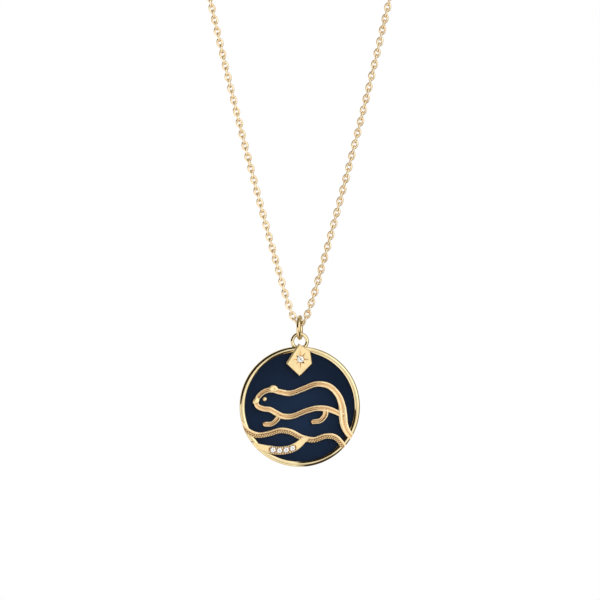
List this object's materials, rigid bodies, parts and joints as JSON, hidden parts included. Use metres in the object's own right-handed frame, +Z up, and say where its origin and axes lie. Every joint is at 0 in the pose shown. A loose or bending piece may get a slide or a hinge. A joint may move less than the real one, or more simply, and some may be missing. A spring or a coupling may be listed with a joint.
{
  "type": "otter pendant necklace",
  "caption": "Round enamelled disc pendant with gold wire figures and clear stones, hung by a jump ring on a fine cable chain loop with a clasp.",
  "frame": {"origin": "top of the loop, on the underside of the clasp, where the necklace hangs on a neck or a hook", "axes": "+Z up along the hanging loop, +X to the viewer's right, the disc's enamelled face looks along -Y"},
  "size_m": [0.066, 0.0054, 0.2278],
  "materials": {
    "gold": "polished yellow gold plating with satin grooves",
    "enamel": "opaque dark navy enamel, glossy",
    "stone": "clear faceted stone"
  },
  "bodies": {
    "necklace": {"chain": "gold", "clasp": "gold", "end_ring": "gold"},
    "bail": {"bail_ring": "gold"},
    "pendant": {"pendant_case": "gold", "enamel_disc": "enamel", "star_stone": "stone", "row_stone_1": "stone", "row_stone_2": "stone", "row_stone_3": "stone", "row_stone_4": "stone"}
  },
  "joints": [
    {"name": "bail_swing", "type": "hinge", "parent": "necklace", "child": "bail", "pos_m": [0, 0, -0.20204], "axis": [1, 0, 0], "range_deg": [-80, 80]},
    {"name": "pendant_swing", "type": "hinge", "parent": "bail", "child": "pendant", "pos_m": [0, 0, -0.20389], "axis": [1, 0, 0], "range_deg": [-50, 85]}
  ]
}
